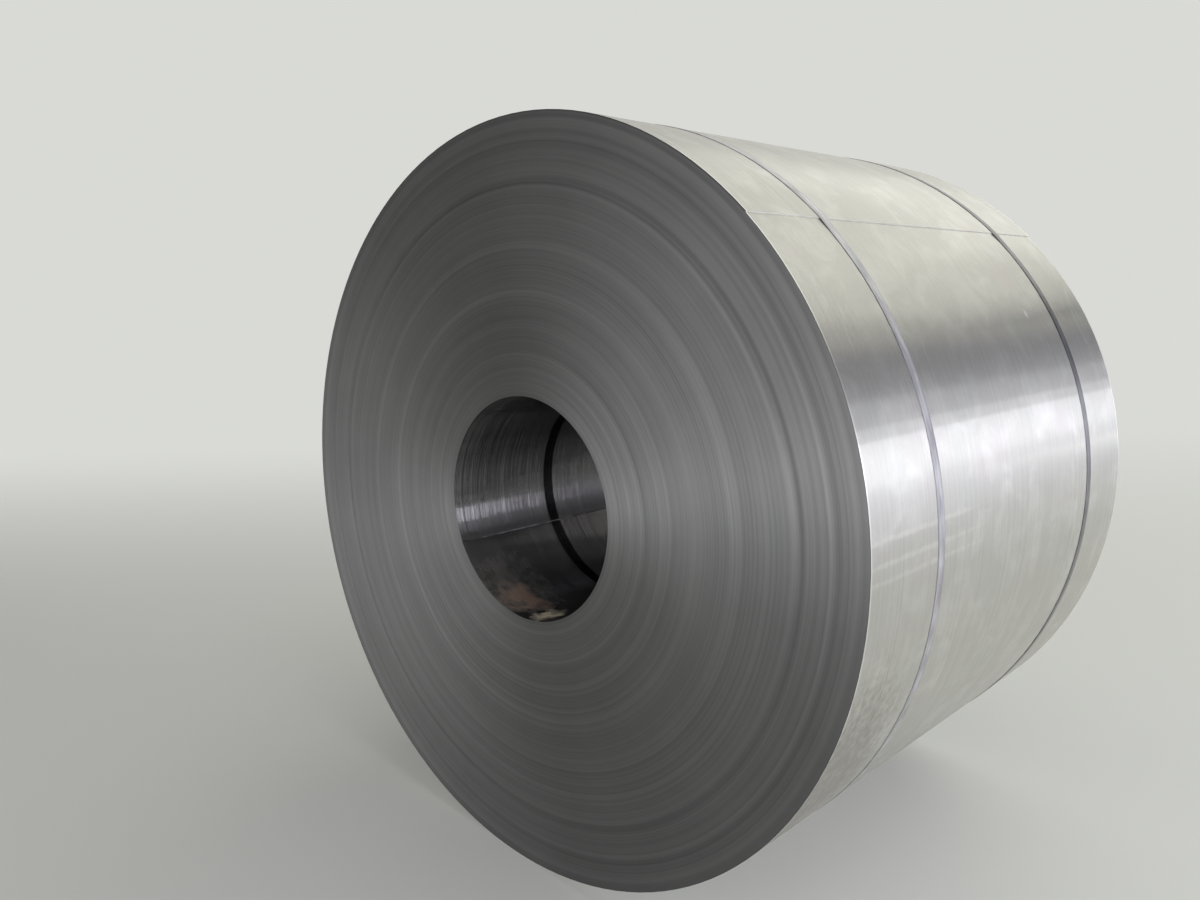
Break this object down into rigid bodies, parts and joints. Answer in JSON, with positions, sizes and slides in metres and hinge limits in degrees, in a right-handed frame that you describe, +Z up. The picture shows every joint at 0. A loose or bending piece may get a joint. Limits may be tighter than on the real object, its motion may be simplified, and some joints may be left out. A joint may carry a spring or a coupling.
{
  "type": "steel coil",
  "caption": "Bare cold rolled steel strip wound into a coil with a round bore, lying on its side and held by steel straps with crimped seals.",
  "frame": {"origin": "on the floor, under the middle of the coil", "axes": "+Y along the coil's axis from the front end to the rear end, +Z up"},
  "size_m": [1.6994, 1.2676, 1.7004],
  "materials": {
    "cold_rolled_strip": "bare cold rolled steel, satin to bright round the outside, dull grey slit edges on the ends",
    "strapping_steel": "flat rolled high tensile steel strapping, dull grey",
    "seal_steel": "folded and crimped sheet steel, satin"
  },
  "bodies": {
    "root": {"coil": "cold_rolled_strip", "strap_front": "strapping_steel", "strap_rear": "strapping_steel", "seal_front": "seal_steel", "seal_rear": "seal_steel"}
  },
  "joints": []
}
